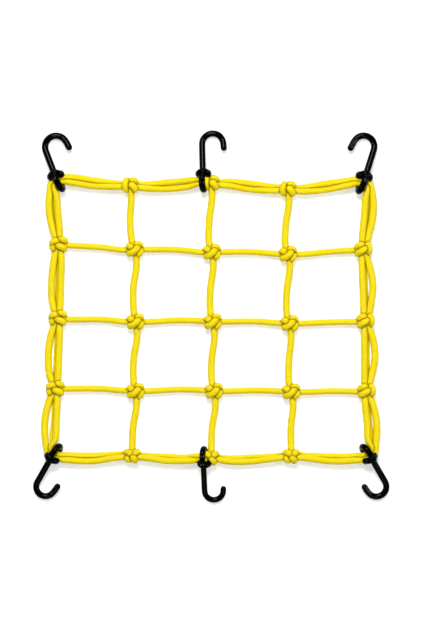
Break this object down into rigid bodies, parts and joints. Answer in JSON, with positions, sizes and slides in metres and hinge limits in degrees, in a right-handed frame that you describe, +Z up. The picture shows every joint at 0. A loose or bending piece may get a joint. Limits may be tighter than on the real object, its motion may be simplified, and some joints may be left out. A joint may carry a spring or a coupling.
{
  "type": "luggage net",
  "caption": "Square net of knotted elastic cord with a doubled rim and black coated wire hooks at its corners and the middle of its top and bottom, lying flat.",
  "frame": {"origin": "on the surface that the net lies on, under the middle of the whole", "axes": "+Z up from the surface, +Y from the bottom hooks towards the top hooks, +X towards the right side of the net seen from above"},
  "size_m": [0.3425, 0.3581, 0.0181],
  "materials": {
    "cord": "matte woven sheath over elastic, faint diagonal braid",
    "hook": "glossy black dip coat over steel wire"
  },
  "bodies": {
    "root": {"net": "cord", "hook_top_left": "hook", "hook_top_middle": "hook", "hook_top_right": "hook", "hook_bottom_left": "hook", "hook_bottom_middle": "hook", "hook_bottom_right": "hook"}
  },
  "joints": []
}
